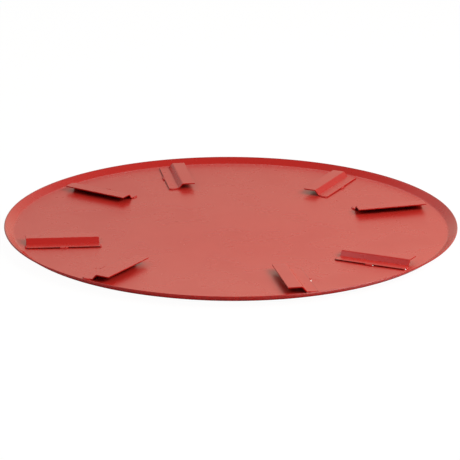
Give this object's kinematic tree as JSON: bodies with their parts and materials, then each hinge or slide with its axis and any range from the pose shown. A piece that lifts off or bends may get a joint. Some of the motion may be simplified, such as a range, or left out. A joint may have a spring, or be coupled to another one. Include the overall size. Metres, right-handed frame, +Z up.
{
  "type": "power trowel float pan",
  "caption": "Round shallow steel pan with a turned-up rim and welded Z clips in facing pairs, carried under a power trowel's blades to float fresh concrete",
  "frame": {"origin": "middle of the pan's underside, on the surface it rests on", "axes": "+Z up, out of the open side; the facing pairs of clips lie on the X and Y axes"},
  "size_m": [0.94, 0.94, 0.0227],
  "materials": {
    "pan_paint": "satin red paint on pressed steel plate",
    "clip_paint": "satin red paint on folded steel sheet",
    "weld_paint": "red paint over rippled weld metal"
  },
  "bodies": {
    "root": {"pan_disc": "pan_paint", "blade_clip_1": "clip_paint", "blade_clip_2": "clip_paint", "blade_clip_3": "clip_paint", "blade_clip_4": "clip_paint", "blade_clip_5": "clip_paint", "blade_clip_6": "clip_paint", "blade_clip_7": "clip_paint", "blade_clip_8": "clip_paint", "middle_weld_1": "weld_paint", "middle_weld_2": "weld_paint", "middle_weld_3": "weld_paint", "middle_weld_4": "weld_paint", "middle_weld_5": "weld_paint", "middle_weld_6": "weld_paint", "middle_weld_7": "weld_paint", "middle_weld_8": "weld_paint", "outer_weld_1": "weld_paint", "outer_weld_2": "weld_paint", "outer_weld_3": "weld_paint", "outer_weld_4": "weld_paint", "outer_weld_5": "weld_paint", "outer_weld_6": "weld_paint", "outer_weld_7": "weld_paint", "outer_weld_8": "weld_paint", "inner_weld_1": "weld_paint", "inner_weld_2": "weld_paint", "inner_weld_3": "weld_paint", "inner_weld_4": "weld_paint", "inner_weld_5": "weld_paint", "inner_weld_6": "weld_paint", "inner_weld_7": "weld_paint", "inner_weld_8": "weld_paint"}
  },
  "joints": []
}
